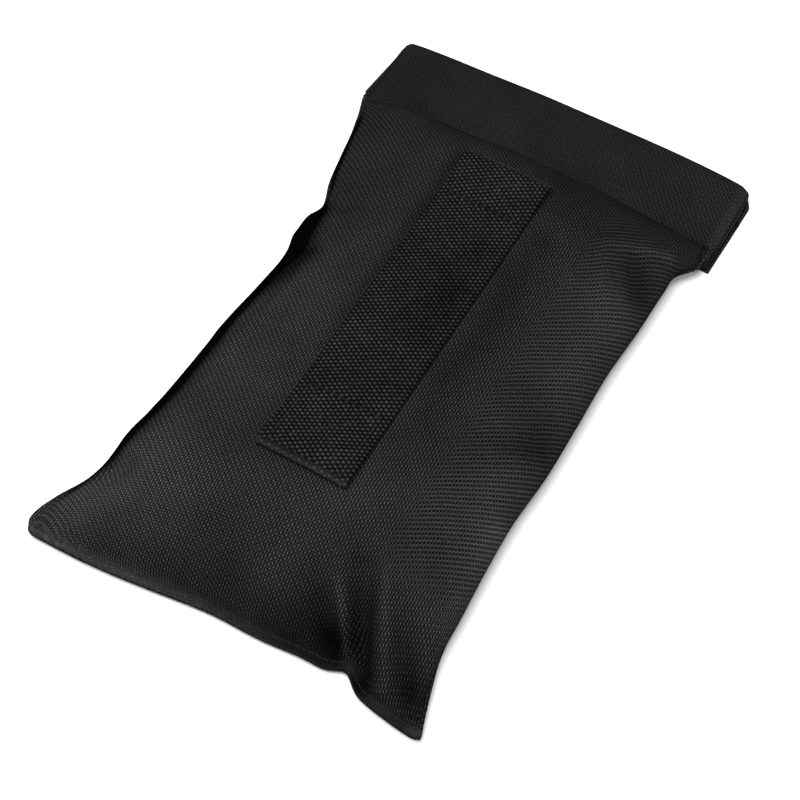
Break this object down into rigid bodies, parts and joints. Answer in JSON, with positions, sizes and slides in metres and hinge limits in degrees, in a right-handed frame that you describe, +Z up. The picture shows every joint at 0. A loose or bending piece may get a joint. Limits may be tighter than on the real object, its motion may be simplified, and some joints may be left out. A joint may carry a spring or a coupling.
{
  "type": "sandbag",
  "caption": "Slim woven weight bag filled with sand, with a flat webbing handle sewn along its front and a rolled hook-and-loop mouth, lying on its back.",
  "frame": {"origin": "middle of the footprint on the floor, with the bag lying on its back panel", "axes": "+Y along the bag from the bottom seam towards the folded mouth, +X across it to the right as seen from the handle side, +Z up out of the handle side"},
  "size_m": [0.1722, 0.288, 0.0406],
  "materials": {
    "shell_cloth": "matte",
    "handle_webbing": "matte",
    "sewing_thread": "satin",
    "hook_tape": "matte",
    "loop_tape": "matte",
    "sand": "matte"
  },
  "bodies": {
    "bag": {"front_panel": "shell_cloth", "back_panel": "shell_cloth", "sand_fill": "sand", "left_side_seam": "sewing_thread", "right_side_seam": "sewing_thread", "bottom_seam": "sewing_thread", "handle_strap_lower_end": "handle_webbing", "handle_strap_upper_end": "handle_webbing", "lower_box_stitch": "sewing_thread", "upper_box_stitch": "sewing_thread", "closure_hook_tape": "hook_tape", "closure_hook_stitching": "sewing_thread"},
    "flap": {"flap_back_layer": "shell_cloth", "fold_outer_wrap": "shell_cloth", "closure_loop_tape": "loop_tape", "closure_loop_stitching": "sewing_thread", "mouth_loop_tape": "loop_tape", "mouth_loop_stitching": "sewing_thread"},
    "lip": {"flap_front_layer": "shell_cloth", "mouth_hook_tape": "hook_tape", "mouth_hook_stitching": "sewing_thread"},
    "handle": {"handle_strap_grip": "handle_webbing"}
  },
  "joints": [
    {"name": "closure_flap_hinge", "type": "hinge", "parent": "bag", "child": "flap", "pos_m": [0, 0.14405, 0.00465], "axis": [1, 0, 0], "range_deg": [0, 180]},
    {"name": "mouth_lip_hinge", "type": "hinge", "parent": "flap", "child": "lip", "pos_m": [0, 0.1313, 0], "axis": [1, 0, 0], "range_deg": [0, 45]},
    {"name": "handle_lift", "type": "slide", "parent": "bag", "child": "handle", "axis": [0, 0, 1], "range_m": [0, 0.018]}
  ]
}
